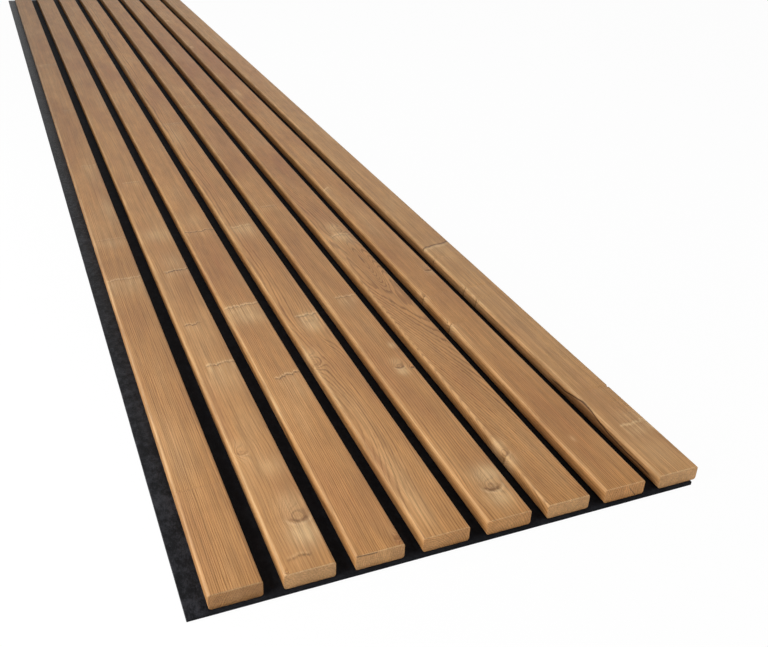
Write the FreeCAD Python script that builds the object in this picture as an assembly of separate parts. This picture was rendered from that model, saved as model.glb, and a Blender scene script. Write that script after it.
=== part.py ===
# Acoustic slat wall panel: planed softwood slats stapled from behind to a sheet of black felt.
# Millimetres. X runs across the slats, Y along them and Z out of the wall.
# The felt's back face lies on Z = 0, and the origin is under the middle of the panel.

import FreeCAD, Part
import os

# Slats
SLAT_COUNT = 8
SLAT_WIDTH = 42.0
SLAT_THICKNESS = 15.0
SLAT_GAP = 16.0
ARRIS_RADIUS = 2.5

# Felt sheet. It shows as a flange beside the first slat and a margin at the slats' ends,
# and the last slat overhangs its right edge.
PANEL_LENGTH = 2440.0
FELT_THICKNESS = 4.0
FELT_END_MARGIN = 2.0
FELT_FLANGE = 17.0
SIDE_LIP = 5.0

# Narrow-crown wire staples, driven from the back through the felt into each slat
STAPLE_ROWS = 6
STAPLE_END_DISTANCE = 60.0
STAPLE_CROWN = 6.0
STAPLE_WIRE_WIDTH = 1.25
STAPLE_WIRE_THICKNESS = 1.0
STAPLE_BEND_RADIUS = 0.8
STAPLE_POINT_HEIGHT = 1.2
STAPLE_SINK = 0.4
WOOD_OVER_STAPLE = 5.0

# Sizes that follow from those above
SLAT_PITCH = SLAT_WIDTH + SLAT_GAP
SLAT_LENGTH = PANEL_LENGTH - 2 * FELT_END_MARGIN
SLATS_SPAN = (SLAT_COUNT - 1) * SLAT_PITCH + SLAT_WIDTH
PANEL_WIDTH = FELT_FLANGE + SLATS_SPAN
FELT_WIDTH = PANEL_WIDTH - SIDE_LIP
FELT_LEFT = -PANEL_WIDTH / 2
FIRST_SLAT_LEFT = FELT_LEFT + FELT_FLANGE
STAPLE_TIP = FELT_THICKNESS + SLAT_THICKNESS - WOOD_OVER_STAPLE
STAPLE_ROW_PITCH = (SLAT_LENGTH - 2 * STAPLE_END_DISTANCE) / (STAPLE_ROWS - 1)


def slat_left(index):
    return FIRST_SLAT_LEFT + index * SLAT_PITCH


def staple_places():
    # Middle of each staple's crown, row by row along each slat
    first_row = -SLAT_LENGTH / 2 + STAPLE_END_DISTANCE
    places = []
    for slat in range(SLAT_COUNT):
        across = slat_left(slat) + SLAT_WIDTH / 2
        for row in range(STAPLE_ROWS):
            places.append(FreeCAD.Vector(across, first_row + row * STAPLE_ROW_PITCH, 0))
    return places


def make_staple():
    # Bent flat wire: the crown below, two legs up, each with a chisel point whose tip is outside
    half_crown = STAPLE_CROWN / 2
    inside = half_crown - STAPLE_WIRE_THICKNESS
    crown_top = STAPLE_SINK + STAPLE_WIRE_THICKNESS
    shoulder = STAPLE_TIP - STAPLE_POINT_HEIGHT
    outline = [
        (-half_crown, STAPLE_SINK),
        (half_crown, STAPLE_SINK),
        (half_crown, STAPLE_TIP),
        (inside, shoulder),
        (inside, crown_top),
        (-inside, crown_top),
        (-inside, shoulder),
        (-half_crown, STAPLE_TIP),
        (-half_crown, STAPLE_SINK),
    ]
    back = -STAPLE_WIRE_WIDTH / 2
    wire = Part.makePolygon([FreeCAD.Vector(x, back, z) for x, z in outline])
    blank = Part.Face(wire).extrude(FreeCAD.Vector(0, STAPLE_WIRE_WIDTH, 0))
    bends = [edge for edge in blank.Edges if is_outer_bend(edge)]
    return blank.makeFillet(STAPLE_BEND_RADIUS, bends)


def is_outer_bend(edge):
    # The two edges under the crown's ends, which run along Y
    middle = edge.CenterOfMass
    runs_along_y = edge.BoundBox.YLength > STAPLE_WIRE_WIDTH / 2
    return runs_along_y and abs(middle.z - STAPLE_SINK) < STAPLE_WIRE_THICKNESS / 2


def make_staple_pocket(staple):
    # The room a driven staple takes: itself, and the dent in the felt under its crown
    dent = Part.makeBox(
        STAPLE_CROWN,
        STAPLE_WIRE_WIDTH,
        STAPLE_SINK + STAPLE_WIRE_THICKNESS,
        FreeCAD.Vector(-STAPLE_CROWN / 2, -STAPLE_WIRE_WIDTH / 2, 0),
    )
    return staple.fuse(dent).removeSplitter()


def copies_at(shape, places):
    moved = []
    for place in places:
        copy = shape.copy()
        copy.translate(place)
        moved.append(copy)
    return moved


def make_slat(index, pockets):
    # A planed batten with all four long edges rounded and square-cut ends
    corner = FreeCAD.Vector(slat_left(index), -SLAT_LENGTH / 2, FELT_THICKNESS)
    blank = Part.makeBox(SLAT_WIDTH, SLAT_LENGTH, SLAT_THICKNESS, corner)
    long_edges = [edge for edge in blank.Edges if edge.BoundBox.YLength > SLAT_LENGTH / 2]
    batten = blank.makeFillet(ARRIS_RADIUS, long_edges)
    own_pockets = pockets[index * STAPLE_ROWS:(index + 1) * STAPLE_ROWS]
    return batten.cut(Part.makeCompound(own_pockets))


def make_felt(pockets):
    corner = FreeCAD.Vector(FELT_LEFT, -PANEL_LENGTH / 2, 0)
    sheet = Part.makeBox(FELT_WIDTH, PANEL_LENGTH, FELT_THICKNESS, corner)
    return sheet.cut(Part.makeCompound(pockets))


def main():
    places = staple_places()
    staple = make_staple()
    pockets = copies_at(make_staple_pocket(staple), places)
    parts = {
        "felt_backing": make_felt(pockets),
        "back_staples": Part.makeCompound(copies_at(staple, places)),
    }
    for index in range(SLAT_COUNT):
        parts[f"slat_{index + 1}"] = make_slat(index, pockets)
    os.makedirs("parts", exist_ok=True)
    for name, shape in parts.items():
        shape.exportStep(f"parts/{name}.step")
        solids = len(shape.Solids)
        print(f"{name}: {solids} solid(s), {shape.Volume / 1000:.2f} cm3, valid {shape.isValid()}")


main()
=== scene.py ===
# Looks of an acoustic slat wall panel: planed softwood slats on black felt
import math

import bpy
from mathutils import Matrix, Vector


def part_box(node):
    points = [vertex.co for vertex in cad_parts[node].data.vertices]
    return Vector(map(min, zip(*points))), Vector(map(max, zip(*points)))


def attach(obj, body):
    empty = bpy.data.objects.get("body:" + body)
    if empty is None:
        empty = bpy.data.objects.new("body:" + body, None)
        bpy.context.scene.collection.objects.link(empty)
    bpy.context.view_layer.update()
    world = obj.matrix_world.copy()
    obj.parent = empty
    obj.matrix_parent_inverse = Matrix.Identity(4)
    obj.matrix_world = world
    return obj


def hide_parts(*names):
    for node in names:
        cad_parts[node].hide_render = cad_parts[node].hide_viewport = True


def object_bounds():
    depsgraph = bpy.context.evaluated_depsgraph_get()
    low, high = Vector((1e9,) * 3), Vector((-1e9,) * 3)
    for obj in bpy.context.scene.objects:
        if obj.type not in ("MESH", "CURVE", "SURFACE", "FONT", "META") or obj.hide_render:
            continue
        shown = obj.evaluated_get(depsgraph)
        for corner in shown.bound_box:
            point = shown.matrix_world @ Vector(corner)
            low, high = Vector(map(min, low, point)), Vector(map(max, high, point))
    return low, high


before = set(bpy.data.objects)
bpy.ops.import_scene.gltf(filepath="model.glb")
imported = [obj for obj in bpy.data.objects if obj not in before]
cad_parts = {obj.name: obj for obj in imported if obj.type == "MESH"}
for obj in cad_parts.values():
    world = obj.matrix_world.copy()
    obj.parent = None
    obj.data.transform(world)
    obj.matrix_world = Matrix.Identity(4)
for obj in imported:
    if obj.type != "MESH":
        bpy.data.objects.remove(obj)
cadLow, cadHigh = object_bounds()
mm = 0.001
smoothAngle = math.radians(50)
print("frame loaded:", len(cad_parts), "nodes")


# one wire of a shader, so that its maths can be written as sums
class Signal:
    def __init__(self, finish, socket):
        self.finish = finish
        self.socket = socket

    def maths(self, operation, *others):
        values = dict(enumerate((self,) + others))
        return self.finish.add("ShaderNodeMath", {"operation": operation}, values)

    def __add__(self, other):
        return self.maths("ADD", other)

    def __sub__(self, other):
        return self.maths("SUBTRACT", other)

    def __rsub__(self, other):
        return self.finish.add("ShaderNodeMath", {"operation": "SUBTRACT"}, {0: other, 1: self})

    def __mul__(self, other):
        return self.maths("MULTIPLY", other)

    def __truediv__(self, other):
        return self.maths("DIVIDE", other)

    def __rtruediv__(self, other):
        return self.finish.add("ShaderNodeMath", {"operation": "DIVIDE"}, {0: other, 1: self})

    __radd__ = __add__
    __rmul__ = __mul__

    def squared(self):
        return self * self

    # 0 below low, 1 above high, soft between
    def rise(self, low, high):
        settings = {"interpolation_type": "SMOOTHSTEP"}
        return self.finish.add("ShaderNodeMapRange", settings, {0: self, 1: low, 2: high})

    # 1 between a rising slope and a falling one
    def spans(self, riseFrom, riseTo, fallFrom, fallTo):
        return self.rise(riseFrom, riseTo) * (1 - self.rise(fallFrom, fallTo))

    # bell of this half width about zero
    def bell(self, width):
        return (self.squared() * (-1 / width ** 2)).maths("EXPONENT")


# a node tree under construction
class Finish:
    def __init__(self, owner):
        owner.use_nodes = True
        self.owner = owner
        self.tree = owner.node_tree
        self.tree.nodes.clear()

    def add(self, kind, settings=None, sockets=None, out=0):
        node = self.tree.nodes.new(kind)
        for key, value in (settings or {}).items():
            setattr(node, key, value)
        for key, value in (sockets or {}).items():
            if isinstance(value, Signal):
                self.tree.links.new(value.socket, node.inputs[key])
            else:
                node.inputs[key].default_value = value
        return Signal(self, node.outputs[out]) if node.outputs else None

    # object coordinates in millimetres, each by itself
    def place(self):
        spot = self.add("ShaderNodeTexCoord", out="Object")
        spot = self.add("ShaderNodeVectorMath", {"operation": "SCALE"}, {0: spot, "Scale": 1 / mm})
        return [self.add("ShaderNodeSeparateXYZ", None, {0: spot}, out=axis) for axis in range(3)]

    def noise(self, x, y, z, detail=2.0, roughness=0.5):
        spot = self.add("ShaderNodeCombineXYZ", None, {0: x, 1: y, 2: z})
        sockets = {"Vector": spot, "Scale": 1.0, "Detail": detail, "Roughness": roughness}
        return self.add("ShaderNodeTexNoise", None, sockets)

    def mix(self, share, first, second, blend="MIX"):
        settings = {"data_type": "RGBA", "blend_type": blend}
        return self.add("ShaderNodeMix", settings, {0: share, 6: first, 7: second}, out=2)

    # 1 for rays that show the background as such, 0 for those that light the object
    def seen(self):
        kinds = ("Is Camera Ray", "Is Glossy Ray", "Is Transmission Ray")
        first, second, third = [self.add("ShaderNodeLightPath", out=kind) for kind in kinds]
        return first.maths("MAXIMUM", second).maths("MAXIMUM", third)

    def end(self, shader, output="ShaderNodeOutputMaterial"):
        self.add(output, None, {"Surface": shader})
        return self.owner


# what all slats share; sizes in millimetres, colours linear
wood = {
    "early": (0.545, 0.274, 0.098, 1),
    "late": (0.260, 0.103, 0.025, 1),
    "pale": (0.740, 0.490, 0.250, 1),
    "red": (0.340, 0.138, 0.054, 1),
    "knot": (0.165, 0.064, 0.018, 1),
    "line": (0.085, 0.036, 0.016, 1),
    "arris": 2.5,
    "arrisSteps": 6,
    "endEase": 0.35,
    "endEaseSteps": 2,
    "sections": 120,
    "wave": 0.22,
    "waveScale": 0.09,    # metres
    "waveLevel": 0.98,    # near 1, so that the waves stay inside the solid
    "faceHeight": 15,
    "knotSlant": 0.2,
    # painted highlights along the left and right top edges
    "leftEdgeHighlight": 0.33,
    "rightEdgeHighlight": 0.3,
    "blush": 0.42,
    # noises drawn out along the slat: scale across, scale along, detail, roughness, from, to
    "fibre": (1.9, 0.03, 3.0, 0.62, 0.25, 0.75),
    "thread": (0.65, 0.012, 3.0, 0.7, 0.28, 0.72),
    "dash": (1.3, 0.06, 2.0, 0.5, 0.57, 0.72),
    "streak": (0.2, 0.003, 2.0, 0.5, 0.25, 0.75),
}

# One entry for each slat, in mm from its front left lower corner
# pith (across, up), lean (across and up, mm in a metre) and dip (along, half length, depth) place
# the middle of the rings
# ring: their width; grain: how dark the late wood is; tone: brightness; pale: paleness all over
# wobble: how far the pith wanders; end: how pale and how dim the sawn ends are
# knots: along, across, size, darkness, pale fan behind, pale fan in front
# spikes, which lie crosswise: along, from, to, slope, paleness, darkness
# clouds, which are pale, and flushes, which are red: along, across, half length, half width, amount
# whorls, which turn the rings back: along, across, half length, half width, depth
# nicks in the top edges: along, across, length, depth
# seams along the left side: from, to, height, rise
# splits in the front end: across, height, across, height
# bands right across: along, slope, half width, darkness
slats = [
    {"node": "slat_1", "pith": (118, -42), "lean": (5, -3), "dip": (900, 300, 4),
     "ring": 1.6, "grain": 0.9, "tone": 0.80, "pale": 0.0, "wobble": 2.5, "end": (0.0, 0.25),
     "knots": [],
     "spikes": [(1597, 3, 41, 0.1, 0.9, 0.3), (1250, 20, 41, 0.0, 0.5, 0.2),
                (940, 18, 41, 0.0, 0.6, 0.2), (649, 0, 41, 0.06, 0.4, 0.2),
                (528, 0, 41, 0.1, 0.9, 0.25)],
     "clouds": [(752, 32, 45, 9, 0.5), (510, 22, 24, 26, 0.35), (900, 30, 60, 10, 0.3),
                (180, 12, 60, 12, 0.25), (636, 22, 14, 20, 0.3)],
     "flushes": [(1800, 20, 160, 30, 0.25), (1150, 14, 120, 20, 0.2)],
     "whorls": [], "nicks": [(122, 0, 5, 0.9)], "seams": [], "splits": [], "bands": []},
    {"node": "slat_2", "pith": (-90, -60), "lean": (12, 8), "dip": (120, 70, 3),
     "ring": 2.4, "grain": 0.6, "tone": 0.88, "pale": 0.05, "wobble": 5, "end": (0.3, 0.1),
     "knots": [(157, 9, 4.0, 0.6, 0.3, 0.3), (60, 30, 6.4, 0.85, 0.6, 1.0), (3, 3, 1.3, 0.8, 0, 0)],
     "spikes": [(848, 10, 34, 0.1, 0.7, 0.2), (533, 12, 42, 0.11, 0.9, 0.8),
                (396, 8, 26, 0.1, 0.5, 0.7), (305, 12, 42, 0.11, 1.1, 0.6),
                (15, 8, 26, 0.1, 0.35, 0.6)],
     "clouds": [(648, 22, 22, 18, 0.5), (129, 27, 14, 16, 0.35), (34, 28, 14, 12, 0.4),
                (560, 28, 26, 14, 0.35), (280, 24, 26, 20, 0.35)],
     "flushes": [(470, 20, 60, 24, 0.25), (1600, 20, 330, 40, 0.45)],
     "whorls": [], "nicks": [], "seams": [], "splits": [], "bands": []},
    {"node": "slat_3", "pith": (150, -16), "lean": (4, 4), "dip": (520, 120, 3),
     "ring": 1.8, "grain": 0.9, "tone": 0.97, "pale": 0.0, "wobble": 2.5, "end": (0.25, 0.05),
     "knots": [(9, 39, 2.6, 0.4, 0.2, 0.0)],
     "spikes": [(643, 2, 41, 0.08, 0.5, 0.7), (420, 1, 41, 0.08, 1.5, 0.4),
                (261, 14, 41, 0.24, 0.8, 0.8)],
     "clouds": [(396, 22, 18, 24, 0.6), (680, 20, 30, 18, 0.25), (236, 30, 22, 12, 0.25)],
     "flushes": [(530, 20, 90, 26, 0.5), (7, 40, 8, 7, 0.7), (1500, 20, 150, 30, 0.3)],
     "whorls": [], "nicks": [], "seams": [], "splits": [(1, 14.2, 18, 13.4)], "bands": []},
    {"node": "slat_4", "pith": (-4, -12), "lean": (-2, 2), "dip": (165, 105, 10),
     "ring": 1.8, "grain": 1.0, "tone": 1.0, "pale": 0.0, "wobble": 2.5, "end": (0.0, 0.05),
     "knots": [(279, 2, 6.0, 0.4, 0.5, 0.2), (366, 26, 4.5, 0.25, 0.3, 0.4)],
     "spikes": [(642, 6, 36, 0.05, 1.0, 0.2), (376, 14, 39, 0.08, 1.4, 0.5),
                (1120, 4, 38, 0.1, 0.6, 0.4)],
     "clouds": [(630, 22, 24, 16, 0.5), (352, 24, 16, 12, 0.45), (60, 12, 60, 9, 0.3),
                (1060, 14, 60, 9, 0.3)],
     "flushes": [(105, 3, 45, 3.5, 0.9), (1300, 22, 120, 26, 0.4)],
     "whorls": [(335, 27, 45, 9, 7)], "nicks": [], "seams": [], "splits": [], "bands": []},
    {"node": "slat_5", "pith": (-26, -22), "lean": (3, -4), "dip": (60, 60, 4),
     "ring": 2.0, "grain": 0.9, "tone": 1.0, "pale": 0.0, "wobble": 4, "end": (0.0, 0.0),
     "knots": [(243, 26, 3.6, 1.0, 0.5, 1.0), (237, 38, 1.8, 1.0, 0.0, 0.0),
               (40, 25, 5.8, 1.25, 1.1, 1.1)],
     "spikes": [(405, 14, 38, 0.05, 0.8, 0.4), (700, 8, 30, 0.05, 0.5, 0.3),
                (1220, 3, 36, 0.1, 0.6, 0.4)],
     "clouds": [(285, 35, 6, 4, 0.7), (56, 35, 12, 6, 0.5), (390, 24, 18, 10, 0.3)],
     "flushes": [(1000, 20, 140, 26, 0.45), (320, 12, 70, 16, 0.2), (1600, 20, 260, 40, 0.4)],
     "whorls": [], "nicks": [], "seams": [], "splits": [], "bands": []},
    {"node": "slat_6", "pith": (84, -40), "lean": (140, -6), "dip": (430, 90, 5),
     "ring": 1.7, "grain": 1.1, "tone": 1.03, "pale": 0.0, "wobble": 3, "end": (0.3, 0.05),
     "knots": [(78, -1, 4.4, 0.8, 0.9, 0.8), (590, 26, 5.0, 0.3, 0.5, 0.3)],
     "spikes": [(573, 10, 38, 0.1, 0.9, 0.3)],
     "clouds": [(560, 28, 22, 12, 0.4), (600, 20, 40, 12, 0.2)],
     "flushes": [(880, 22, 150, 26, 0.5), (640, 26, 40, 14, 0.35), (1600, 20, 300, 40, 0.8)],
     "whorls": [(480, 24, 70, 8, 13)], "nicks": [(74, 0, 14, 0.7)], "seams": [],
     "splits": [], "bands": []},
    {"node": "slat_7", "pith": (-96, -38), "lean": (4, 3), "dip": (560, 140, 4),
     "ring": 1.6, "grain": 1.05, "tone": 1.08, "pale": 0.0, "wobble": 2.5, "end": (0.0, 0.0),
     "knots": [(442, 36, 3.6, 1.4, 0.3, 0.3), (380, -1, 3.0, 0.8, 0.3, 0.3),
               (308, -1, 3.2, 1.0, 0.2, 0.5)],
     "spikes": [(2004, 1, 12, 0.3, 1.4, 0.0), (1700, 1, 10, 0.3, 1.0, 0.0),
                (738, 1, 11, 0.9, 1.5, 0.0)],
     "clouds": [(74, 14, 5, 2.5, 0.45), (640, 20, 70, 16, 0.2), (1290, 10, 30, 6, 0.5)],
     "flushes": [(530, 22, 80, 26, 0.25), (1550, 22, 300, 40, 0.8), (110, 20, 70, 24, 0.2)],
     "whorls": [], "nicks": [(380, 0, 10, 0.8), (308, 0, 12, 0.9)], "seams": [],
     "splits": [(26, 10, 33, 1)], "bands": []},
    {"node": "slat_8", "pith": (132, -40), "lean": (3, -3), "dip": (240, 90, 2),
     "ring": 1.7, "grain": 0.85, "tone": 1.03, "pale": 0.2, "wobble": 2.5, "end": (0.1, 0.08),
     "knots": [(74, 43, 2.8, 0.7, 0.3, 0.5), (384, -1, 2.4, 1.0, 0.3, 0.2),
               (353, -2, 2.6, 1.0, 0.2, 0.2), (471, -1, 1.6, 1.0, 0.0, 0.0)],
     "spikes": [(74, 12, 42, 0.0, 1.4, 0.0)],
     "clouds": [(88, 30, 10, 14, 0.3), (490, 24, 30, 20, 0.25), (300, 22, 90, 16, 0.15),
                (30, 20, 30, 18, 0.2)],
     "flushes": [(1500, 30, 140, 20, 0.35)],
     "whorls": [], "nicks": [(471, 0, 8, 0.7), (384, 0, 10, 0.8), (352, 0, 14, 0.9),
                             (140, 42, 5, 0.9)],
     "seams": [(8, 190, 6, 7.5)], "splits": [], "bands": [(503, 0.26, 1.9, 0.85)]},
]


def selectEdges(piece, wanted):
    bpy.ops.object.mode_set(mode="EDIT")
    bpy.ops.mesh.select_mode(type="EDGE")
    bpy.ops.mesh.select_all(action="DESELECT")
    bpy.ops.object.mode_set(mode="OBJECT")
    points = piece.data.vertices
    for edge in piece.data.edges:
        first, second = (points[i].co for i in edge.vertices)
        edge.select = wanted(first, second)
    bpy.ops.object.mode_set(mode="EDIT")


def addBlock(name, low, high):
    bpy.ops.object.select_all(action="DESELECT")
    bpy.ops.mesh.primitive_cube_add(size=1, location=(low + high) / 2, scale=high - low)
    piece = bpy.context.object
    piece.name = name
    bpy.ops.object.transform_apply(location=True, rotation=True, scale=True)
    return piece


# a dent in one long edge: three cuts, and the middle one pushed in
def makeNick(piece, low, along, across, length, depth):
    middle = low.y + along * mm
    reach = length * mm / 2
    for cut in (middle - reach, middle, middle + reach):
        bpy.ops.object.mode_set(mode="EDIT")
        bpy.ops.mesh.select_all(action="SELECT")
        bpy.ops.mesh.bisect(plane_co=(0, cut, 0), plane_no=(0, 1, 0))
        bpy.ops.object.mode_set(mode="OBJECT")
    top = max(v.co.z for v in piece.data.vertices)
    side = low.x + across * mm
    near = wood["arris"] * mm * 1.1
    bpy.ops.object.mode_set(mode="EDIT")
    bpy.ops.mesh.select_mode(type="VERT")
    bpy.ops.mesh.select_all(action="DESELECT")
    bpy.ops.object.mode_set(mode="OBJECT")
    for point in piece.data.vertices:
        x, y, z = point.co
        point.select = abs(y - middle) < 1e-5 and abs(x - side) < near and top - z < near
    inward = depth * mm * (1 if across == 0 else -1)
    bpy.ops.object.mode_set(mode="EDIT")
    bpy.ops.transform.translate(value=(inward, 0, -abs(inward)))
    bpy.ops.object.mode_set(mode="OBJECT")


def makeSlat(look):
    low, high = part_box(look["node"])
    piece = addBlock(look["node"].replace("slat", "wood_slat"), low, high)
    half = (high.y - low.y) / 2
    selectEdges(piece, lambda a, b: abs(a.y - b.y) > half)
    bpy.ops.mesh.bevel(offset=wood["arris"] * mm, segments=wood["arrisSteps"], affect="EDGES")
    bpy.ops.object.mode_set(mode="OBJECT")
    ends = (low.y + 1e-5, high.y - 1e-5)
    selectEdges(piece, lambda a, b: max(a.y, b.y) < ends[0] or min(a.y, b.y) > ends[1])
    bpy.ops.mesh.bevel(offset=wood["endEase"] * mm, segments=wood["endEaseSteps"], affect="EDGES")
    bpy.ops.object.mode_set(mode="OBJECT")
    selectEdges(piece, lambda a, b: abs(a.y - b.y) > half)
    bpy.ops.mesh.subdivide(number_cuts=wood["sections"])
    bpy.ops.object.mode_set(mode="OBJECT")
    wave = bpy.data.textures.new(piece.name + "_wave", "CLOUDS")
    wave.noise_scale = wood["waveScale"]
    sway = piece.modifiers.new("wave", "DISPLACE")
    sway.texture = wave
    sway.texture_coords = "LOCAL"
    sway.strength = wood["wave"] * mm
    sway.mid_level = wood["waveLevel"]
    bpy.ops.object.modifier_apply(modifier=sway.name)
    for nick in look["nicks"]:
        makeNick(piece, low, *nick)
    bpy.ops.object.shade_smooth_by_angle(angle=smoothAngle)
    piece.data.materials.append(woodFinish(look, low, high))
    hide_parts(look["node"])
    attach(piece, "root")
    return piece


# a soft oval patch: along, across, half length, half width, amount
def oval(along, across, spot):
    spotAlong, spotAcross, length, width, amount = spot
    spread = ((along - spotAlong) / length).squared() + ((across - spotAcross) / width).squared()
    return (spread * -1.0).maths("EXPONENT") * amount


# a knot parts the grain and swells the rings round it; its heart is a dark ragged crescent
# with a pale line in front, and pale fans lie before and behind
def addKnots(f, look, seed, across, along, height):
    bent, swell, near, heart, fans = across, 0, 0, 0, 0
    for knotAlong, knotAcross, size, dark, behind, before in look["knots"]:
        away = along - knotAlong + (height - wood["faceHeight"]) * wood["knotSlant"]
        aside = across - knotAcross
        reach = ((away * 0.72).squared() + aside.squared()).maths("SQRT")
        bent = bent - aside * ((size * 1.7) ** 2 / (reach.squared() + (size * 1.6) ** 2))
        swell = swell + reach.bell(size * 1.6) * (size * 1.3)
        near = near + reach.bell(size * 1.8) * dark
        rough = f.noise(across * (1.6 / size) + seed, along * (1.1 / size), height * 0.2, 4.0, 0.65)
        rim = ((away * 0.9).squared() + (aside * 0.8).squared()).maths("SQRT") / size
        front = (away * (-1 / size)).rise(-0.5, 0.6)
        strokes = (rim - 0.85).bell(0.32) * front + rim.bell(0.3) * 0.6
        heart = heart + strokes * (0.35 + 0.65 * rough.rise(0.35, 0.6)) * dark
        fans = fans + (rim - 1.4).bell(0.22) * front * (0.5 * dark)
        lobe = aside.squared() * (0.45 / size ** 2)
        for step, amount in ((2.6, behind), (-2.6, before)):
            spread = ((away - step * size) / (1.8 * size)).squared() + lobe
            fans = fans + (spread * -0.6).maths("EXPONENT") * amount
    return bent, swell, near, heart, fans


# distance to the pith, which leans, dips and wanders along the slat
def pithDistance(f, look, seed, bent, across, along, height):
    wobble = look["wobble"] * 4
    sway = f.noise(along * 0.0026 + seed, across * 0.004, height * 0.004, 1.0) - 0.5
    drift = f.noise(along * 0.0035 + seed + 9, across * 0.004, 4.0, 1.0) - 0.5
    pithAcross, pithUp = look["pith"]
    leanAcross, leanUp = look["lean"]
    dipAlong, dipLength, dipDepth = look["dip"]
    sideways = bent - pithAcross + along * (leanAcross * mm) + sway * wobble
    upright = height - pithUp + along * (leanUp * mm) + drift * wobble
    upright = upright - (along - dipAlong).bell(dipLength) * dipDepth
    return (sideways.squared() + upright.squared()).maths("SQRT")


# dark lines with the pale ridges beside them, and painted shade on the side below a seam
def addMarks(f, look, seed, thread, ripple, across, along, height):
    stripe, seamShade, ridges = 0, 0, 0
    onTop = height.rise(8, 13)
    for spikeAlong, start, stop, slope, pale, dark in look["spikes"]:
        jag = (f.noise(across * 0.13 + seed, spikeAlong * 0.1, 0.0, 4.0, 0.68) - 0.5) * 17
        broken = f.noise(across * 0.45, spikeAlong * 0.1, seed, 2.0).rise(0.36, 0.6)
        offset = along - spikeAlong - (across - start) * slope + jag
        within = across.spans(start - 3, start + 3, stop - 3, stop + 3) * onTop
        stripe = stripe + offset.bell(1.4) * within * dark * (0.4 + 0.9 * broken)
        ridge = (offset - 2.4).bell(1.7) * (0.45 + 0.6 * thread)
        ridge = ridge + (offset + 7).bell(9) * (0.4 * thread)
        ridges = ridges + ridge * within * pale
    for bandAlong, slope, width, dark in look["bands"]:
        offset = along - bandAlong - across * slope + ripple * 9
        stripe = stripe + offset.bell(width) * onTop * dark
        ridges = ridges + (offset + width * 2.6).bell(width * 1.8) * onTop * 0.5
    for start, stop, level, climb in look["seams"]:
        hump = (along - (start + stop) * 0.6).bell(30) * climb
        wander = f.noise(along * 0.05, seed, 0.0, 2.0) * 4 - 2
        over = height - level - hump - wander
        within = (1 - across.rise(1.5, 4)) * along.spans(start, start + 10, stop - 20, stop)
        stripe = stripe + over.bell(0.9) * within * 1.3
        # painted shade: the side below the seam is darkened as if it lay recessed in shadow
        seamShade = seamShade + (1 - over.rise(-1.5, 0.3)) * within * 0.55
    for fromAcross, fromHeight, toAcross, toHeight in look["splits"]:
        slope = (toHeight - fromHeight) / (toAcross - fromAcross)
        crack = (height - fromHeight - (across - fromAcross) * slope).bell(0.6)
        within = across.spans(fromAcross - 0.5, fromAcross, toAcross, toAcross + 0.5)
        stripe = stripe + crack * within * (1 - along.rise(0.3, 1.0))
    return stripe, seamShade, ridges


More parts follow.
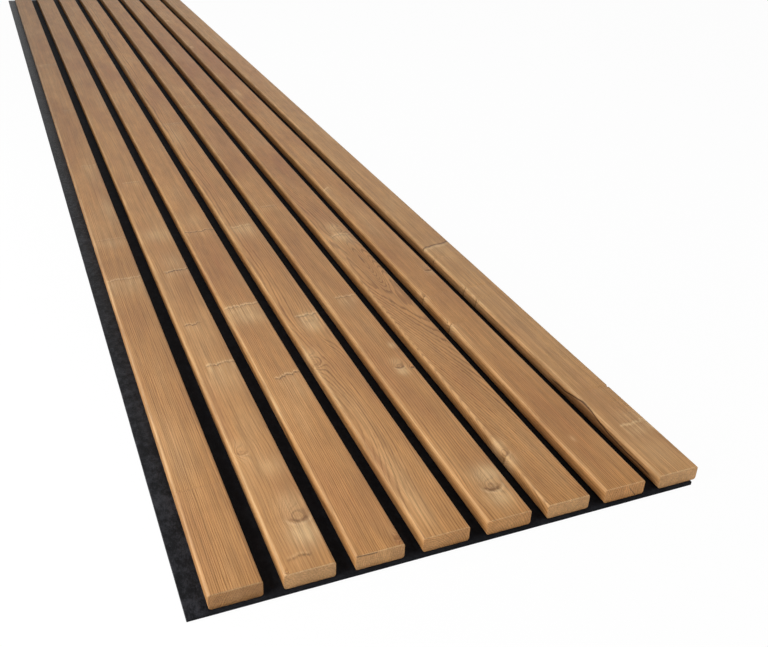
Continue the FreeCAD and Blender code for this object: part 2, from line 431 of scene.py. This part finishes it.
def woodFinish(look, low, high):
    f = Finish(bpy.data.materials.new(look["node"] + "_wood"))
    x, y, z = f.place()
    across = x - low.x / mm
    along = y - low.y / mm
    height = z - low.z / mm
    spot = (across, along, height)
    seed = slats.index(look) * 37.0
    longHalf = (high.y - low.y) / mm / 2
    sawn = (along - longHalf).maths("ABSOLUTE").rise(longHalf - 0.6, longHalf - 0.2)

    # rings round the pith, turned by knots and whorls; each ends in a dark line of its own strength
    bent, swell, near, heart, fans = addKnots(f, look, seed, *spot)
    for whorl in look["whorls"]:
        swell = swell + oval(along, across, whorl)
    ripple = f.noise(across * 0.11, along * 0.011 + seed, height * 0.11, 3.0) - 0.5
    shiver = f.noise(across * 0.8, along * 0.04 + seed, height * 0.8, 2.0) - 0.5
    radius = pithDistance(f, look, seed, bent, *spot) + ripple * 2.2 + shiver * 0.7 + swell
    phase = radius / look["ring"] + f.noise(radius * 0.09, seed, 1.0, 1.0) * 2.4
    ringTone = f.add("ShaderNodeTexWhiteNoise", {"noise_dimensions": "1D"}, {"W": phase.maths("FLOOR")})
    late = phase.maths("FRACT").spans(0.50, 0.80, 0.93, 1.0) * (0.45 + 0.55 * ringTone)

    # fibres, threads, short dark dashes and slow changes of tone
    drawn = []
    for name in ("fibre", "thread", "dash", "streak"):
        fine, slow, detail, rough, start, stop = wood[name]
        grain = f.noise(across * fine, along * slow + seed, height * fine, detail, rough)
        drawn.append(grain.rise(start, stop))
    fibre, thread, dash, streak = drawn
    patch = f.noise(across * 0.03, along * 0.0065 + seed, 2.0, 2.0)
    mottle = f.noise(across * 0.07 + seed, along * 0.022, 6.0, 3.0, 0.6).rise(0.3, 0.7)
    late = late * (0.5 + 0.5 * fibre) * (look["grain"] * 1.14 + near * 1.1) + dash * 0.24
    late = (late * (1 - sawn * 0.1)).maths("MINIMUM", 1.0)

    # the top edges carry a painted highlight, the left one most, and so do the top rims of the sawn
    # ends; some sawn ends are also paler
    edgeHighlightShare = (1 - across.rise(0.8, 3.4)) * wood["leftEdgeHighlight"] + across.rise(40.2, 41.5) * wood["rightEdgeHighlight"]
    paintedEdgeHighlight = edgeHighlightShare * height.rise(9, 14) * (1 - sawn) * (0.5 + 0.7 * thread)
    endPale, endDim = look["end"]
    # painted highlight: a pale line along the top rim of each sawn end
    rim = sawn * height.rise(13.4, 14.4) * 0.5
    lift = patch.rise(0.48, 0.75) * 0.18 + fans * 0.8 + paintedEdgeHighlight + sawn * endPale + rim + look["pale"]
    for cloud in look["clouds"]:
        lift = lift + oval(along, across, cloud)
    flush = (1 - patch).rise(0.45, 0.72) * wood["blush"]
    for blush in look["flushes"]:
        flush = flush + oval(along, across, blush)
    stripe, seamShade, ridges = addMarks(f, look, seed, thread, ripple, *spot)
    lift = lift + ridges

    colour = f.mix((flush * (0.5 + 0.6 * streak)).maths("MINIMUM", 0.8), wood["early"], wood["red"])
    colour = f.mix(late, colour, wood["late"])
    colour = f.mix((lift * (0.5 + 0.6 * thread)).maths("MINIMUM", 0.85), colour, wood["pale"])
    shade = 0.62 + 0.18 * fibre + 0.20 * thread + 0.20 * streak + 0.13 * mottle
    saw = f.noise(across * 0.7 + seed, height * 0.9, along * 0.7, 3.0, 0.7).rise(0.3, 0.7)
    shade = shade * (1 - sawn * (endDim - 0.22 + 0.36 * saw)) * look["tone"]
    grey = f.add("ShaderNodeCombineColor", None, {0: shade, 1: shade, 2: shade})
    colour = f.mix(1.0, colour, grey, "MULTIPLY")
    if look["knots"]:
        colour = f.mix(heart.maths("MINIMUM", 1.0) * 0.85, colour, wood["knot"])
    # the painted shade below a seam takes the knot colour
    if look["seams"]:
        colour = f.mix(seamShade, colour, wood["knot"])
    colour = f.mix((stripe * 0.85).maths("MINIMUM", 1.0), colour, wood["line"])

    relief = f.add("ShaderNodeBump", None, {
        "Strength": 0.5,
        "Distance": 0.0006,
        "Height": fibre * 0.3 + thread * 0.4 + late * 0.25 - heart * 0.25 - stripe * 0.8,
    })
    shader = f.add("ShaderNodeBsdfPrincipled", None, {
        "Base Color": colour,
        "Roughness": 0.48 + 0.1 * fibre - 0.06 * late,
        "Normal": relief,
        "Specular IOR Level": 0.28,
    })
    return f.end(shader)


# felt sheet, in metres
felt = {
    "node": "felt_backing",
    "cellsAcross": 46,
    "cellsAlong": 200,
    "nap": 0.00025,
    "napScale": 0.02,
    "edgeEase": 0.0005,
    "edgeEaseSteps": 2,
    "dark": (0.0050, 0.0052, 0.0060, 1),
    "light": (0.0270, 0.0276, 0.0325, 1),
}


# boxes where the staples' crowns sit in the back: one box, repeated along the rows and across the slats
def makeDents():
    first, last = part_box(staples["node"])
    rows, columns = staples["rows"], len(slats)
    wide, long = (size * mm for size in staples["dent"])
    left, right = (sum(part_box(slats[end]["node"]), Vector()).x / 2 for end in (0, -1))
    front, back = first.y + staples["wire"] * mm / 2, last.y - staples["wire"] * mm / 2
    reach = Vector((wide / 2, long / 2, staples["dentDepth"] * mm))
    middle = Vector((left, front, 0))
    dents = addBlock("staple_dents", middle - reach, middle + reach)
    alongStep = (0, (back - front) / (rows - 1), 0)
    acrossStep = ((right - left) / (columns - 1), 0, 0)
    for count, step in ((rows, alongStep), (columns, acrossStep)):
        repeat = dents.modifiers.new("repeat", "ARRAY")
        repeat.count = count
        repeat.use_relative_offset = False
        repeat.use_constant_offset = True
        repeat.constant_offset_displace = step
        bpy.ops.object.modifier_apply(modifier=repeat.name)
    return dents


def makeFelt():
    low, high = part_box(felt["node"])
    dents = makeDents()
    piece = addBlock("felt_sheet", low, high)
    selectEdges(piece, lambda a, b: True)
    bpy.ops.mesh.bevel(offset=felt["edgeEase"], segments=felt["edgeEaseSteps"], affect="EDGES")
    bpy.ops.object.mode_set(mode="OBJECT")
    halfWide, halfLong = (high.x - low.x) / 2, (high.y - low.y) / 2
    selectEdges(piece, lambda a, b: abs(a.y - b.y) > halfLong)
    bpy.ops.mesh.subdivide(number_cuts=felt["cellsAlong"])
    bpy.ops.object.mode_set(mode="OBJECT")
    selectEdges(piece, lambda a, b: abs(a.x - b.x) > halfWide)
    bpy.ops.mesh.subdivide(number_cuts=felt["cellsAcross"])
    bpy.ops.object.mode_set(mode="OBJECT")
    press = piece.modifiers.new("press", "BOOLEAN")
    press.object = dents
    press.operation = "DIFFERENCE"
    bpy.ops.object.modifier_apply(modifier=press.name)
    bpy.data.objects.remove(dents)
    fuzz = bpy.data.textures.new("felt_fuzz", "CLOUDS")
    fuzz.noise_scale = felt["napScale"]
    nap = piece.modifiers.new("nap", "DISPLACE")
    nap.texture = fuzz
    nap.texture_coords = "LOCAL"
    nap.strength = felt["nap"]
    nap.mid_level = 1.0    # the nap only sinks, so it stays inside the solid
    bpy.ops.object.modifier_apply(modifier=nap.name)
    bpy.ops.object.shade_smooth_by_angle(angle=smoothAngle)
    piece.data.materials.append(feltFinish())
    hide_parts(felt["node"])
    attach(piece, "root")
    return piece


def feltFinish():
    f = Finish(bpy.data.materials.new("black_felt"))
    x, y, z = f.place()
    tuft = f.noise(x * 0.17, y * 0.12, z * 0.17, 4.0, 0.72)
    hair = f.noise(x * 1.1, y * 0.5, z * 1.1, 3.0, 0.65)
    blotch = f.noise(x * 0.03, y * 0.03, z * 0.03, 2.0)
    share = (tuft * 1.1 + hair * 0.5 + blotch * 0.3).rise(0.78, 1.26)
    relief = f.add("ShaderNodeBump", None, {
        "Strength": 1.0,
        "Distance": 0.0005,
        "Height": tuft + hair * 0.7,
    })
    colour = f.mix(share, felt["dark"], felt["light"])
    shinyFelt = f.add("ShaderNodeBsdfPrincipled", None, {
        "Base Color": colour,
        "Roughness": 0.28 + 0.14 * hair,
        "Normal": relief,
        "Specular IOR Level": 0.030,
        "Sheen Weight": 0.02,
        "Sheen Roughness": 0.3,
        "Sheen Tint": (0.8, 0.81, 0.86, 1),
    })
    # painted shade: under and between the slats the felt is given a more even colour and almost no
    # shine, standing for the shade the slats cast there
    matt = f.add("ShaderNodeBsdfPrincipled", None, {
        "Base Color": f.mix(0.25 + share * 0.4, felt["dark"], felt["light"]),
        "Roughness": 0.6,
        "Normal": relief,
        "Specular IOR Level": 0.01,
    })
    between = (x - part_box(slats[0]["node"])[0].x / mm).rise(0.0, 4.0)
    return f.end(f.add("ShaderNodeMixShader", None, {0: between, 1: shinyFelt, 2: matt}))


# staples, in millimetres
staples = {
    "node": "back_staples",
    "rows": 6,
    "wire": 1.25,
    "dent": (6.6, 1.9),
    "dentDepth": 1.45,
    "zinc": (0.52, 0.53, 0.55, 1),
    "dull": (0.33, 0.33, 0.34, 1),
}


def finishStaples():
    f = Finish(bpy.data.materials.new("zinc_wire"))
    x, y, z = f.place()
    bloom = f.noise(x * 1.5, y * 1.5, z * 1.5, 3.0)
    shader = f.add("ShaderNodeBsdfPrincipled", None, {
        "Base Color": f.mix(bloom, staples["dull"], staples["zinc"]),
        "Roughness": 0.3 + 0.25 * bloom,
        "Metallic": 1.0,
    })
    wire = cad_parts[staples["node"]]
    wire.data.materials.clear()
    wire.data.materials.append(f.end(shader))


for look in slats:
    makeSlat(look)
print("slats made:", len(slats))
makeFelt()
finishStaples()
print("felt and staples made")


# floor and background, in metres; shadowShare: how much of the floor's own shading is seen
stage = {
    "floorSize": 30,
    "floorGap": 0.0005,
    "floorTint": (0.95, 0.95, 0.95, 1),
    "white": (1, 1, 1, 1),
    "shadowShare": 0.03,
}


def makeFloor():
    bpy.ops.object.select_all(action="DESELECT")
    under = cadLow.z - stage["floorGap"]
    bpy.ops.mesh.primitive_plane_add(size=stage["floorSize"], location=(0, 0, under))
    floor = bpy.context.object
    floor.name = "floor"
    f = Finish(bpy.data.materials.new("pale_floor"))
    matt = f.add("ShaderNodeBsdfDiffuse", None, {"Color": stage["floorTint"]})
    white = f.add("ShaderNodeEmission", None, {"Color": stage["white"], "Strength": 1.0})
    share = f.seen() * (1 - stage["shadowShare"])
    shader = f.add("ShaderNodeMixShader", None, {0: share, 1: matt, 2: white})
    floor.data.materials.append(f.end(shader))


# softboxes: a long low one and a near one at the left, one over the back half
# and one in front at the right
lamps = {
    "world": 0.15,
    "boxes": {
        "leftStrip": {
            "place": (-0.70, -0.85, 0.23), "aim": (0.0, -0.85, 0.0),
            "size": (1.6, 0.08), "power": 5,
        },
        "nearLeft": {
            "place": (-0.70, -1.30, 0.50), "aim": (0.0, -1.15, 0.0),
            "size": (0.35, 0.3), "power": 3.9,
        },
        "overBack": {
            "place": (0.05, 0.35, 1.50), "aim": (0.0, 0.35, 0.0),
            "size": (1.0, 1.4), "power": 8.6,
        },
        "frontRight": {
            "place": (1.30, -1.90, 0.60), "aim": (0.1, -1.2, 0.0),
            "size": (0.8, 0.6), "power": 10.6,
        },
    },
}


def makeLight():
    world = bpy.data.worlds.new("studio")
    bpy.context.scene.world = world
    f = Finish(world)
    strength = lamps["world"] + f.seen() * (1 - lamps["world"])
    sky = f.add("ShaderNodeBackground", None, {"Color": stage["white"], "Strength": strength})
    f.end(sky, "ShaderNodeOutputWorld")
    for name, box in lamps["boxes"].items():
        bpy.ops.object.light_add(type="AREA", location=box["place"])
        lamp = bpy.context.object
        lamp.name = name
        lamp.data.shape = "RECTANGLE"
        lamp.data.size, lamp.data.size_y = box["size"]
        lamp.data.energy = box["power"]
        lamp.visible_camera = False
        towards = Vector(box["aim"]) - Vector(box["place"])
        lamp.rotation_euler = towards.to_track_quat("-Z", "Y").to_euler()


# metres, degrees, and millimetres for the lens and the sensor
camera = {
    "place": (-0.2983, -1.6971, 0.5211),
    "heading": 23.969,
    "tilt": 29.516,
    "roll": 2.773,
    "lens": 42.30,
    "sensor": 36,
}


def makeCamera():
    bpy.ops.object.camera_add()
    view = bpy.context.object
    view.data.lens = camera["lens"]
    view.data.sensor_width = camera["sensor"]
    view.data.sensor_fit = "HORIZONTAL"
    view.data.clip_start = 0.02
    turn = Matrix.Rotation(-math.radians(camera["heading"]), 4, "Z")
    nod = Matrix.Rotation(math.radians(90 - camera["tilt"]), 4, "X")
    roll = Matrix.Rotation(math.radians(camera["roll"]), 4, "Z")
    view.matrix_world = Matrix.Translation(camera["place"]) @ turn @ nod @ roll
    bpy.context.scene.camera = view


makeFloor()
makeLight()
makeCamera()
bpy.context.scene.view_settings.view_transform = "Standard"
print("stage, light and camera set")
